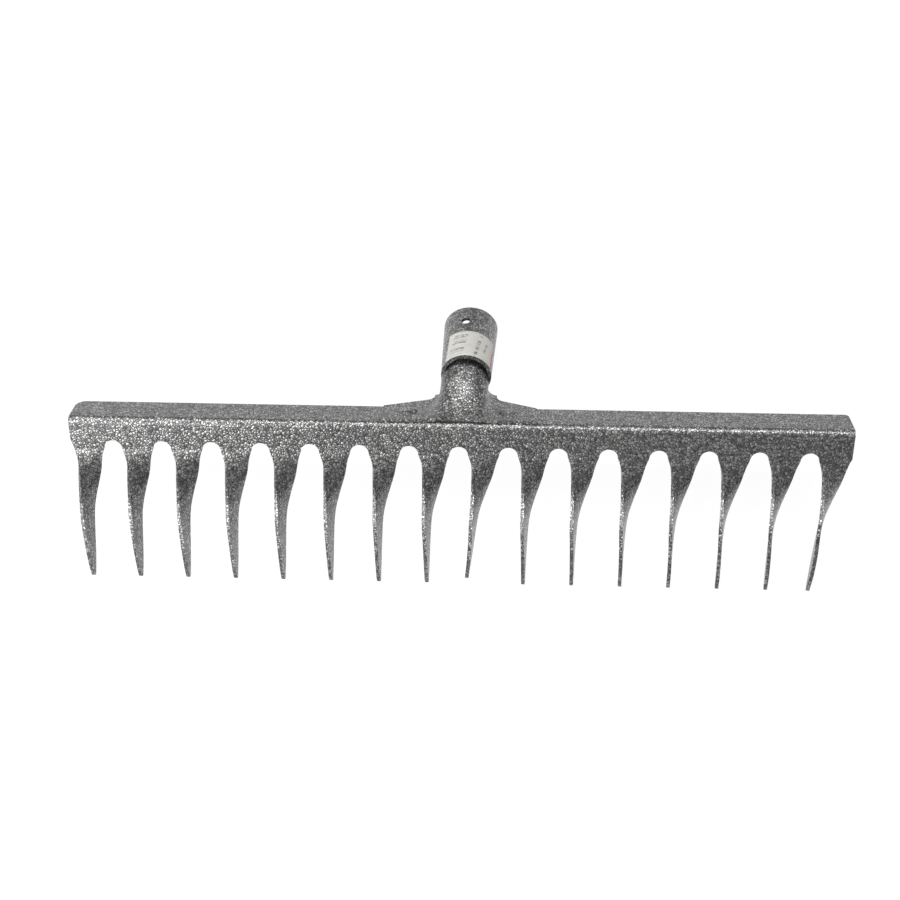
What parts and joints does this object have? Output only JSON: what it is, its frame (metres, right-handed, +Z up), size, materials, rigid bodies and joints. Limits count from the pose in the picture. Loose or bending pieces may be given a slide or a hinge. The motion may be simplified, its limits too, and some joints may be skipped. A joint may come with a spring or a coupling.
{
  "type": "garden rake head",
  "caption": "Rake head of bent sheet steel with a row of twisted tines and a rolled conical handle socket riveted on top.",
  "frame": {"origin": "centre of the footprint on the surface that the head lies on", "axes": "+X along the bar, +Y from the tines towards the socket's side, +Z up, with the head lying on its tine tips and the socket's lower rim"},
  "size_m": [0.4186, 0.1521, 0.0534],
  "materials": {
    "hammertone_bar": "silver-vein hammertone powder coat",
    "hammertone_socket": "silver-vein hammertone powder coat",
    "rivets": "painted over with the head",
    "label": "off-white paper sticker"
  },
  "bodies": {
    "root": {"toothed_bar": "hammertone_bar", "handle_socket": "hammertone_socket", "rivet_left": "rivets", "rivet_right": "rivets", "price_label": "label"}
  },
  "joints": []
}
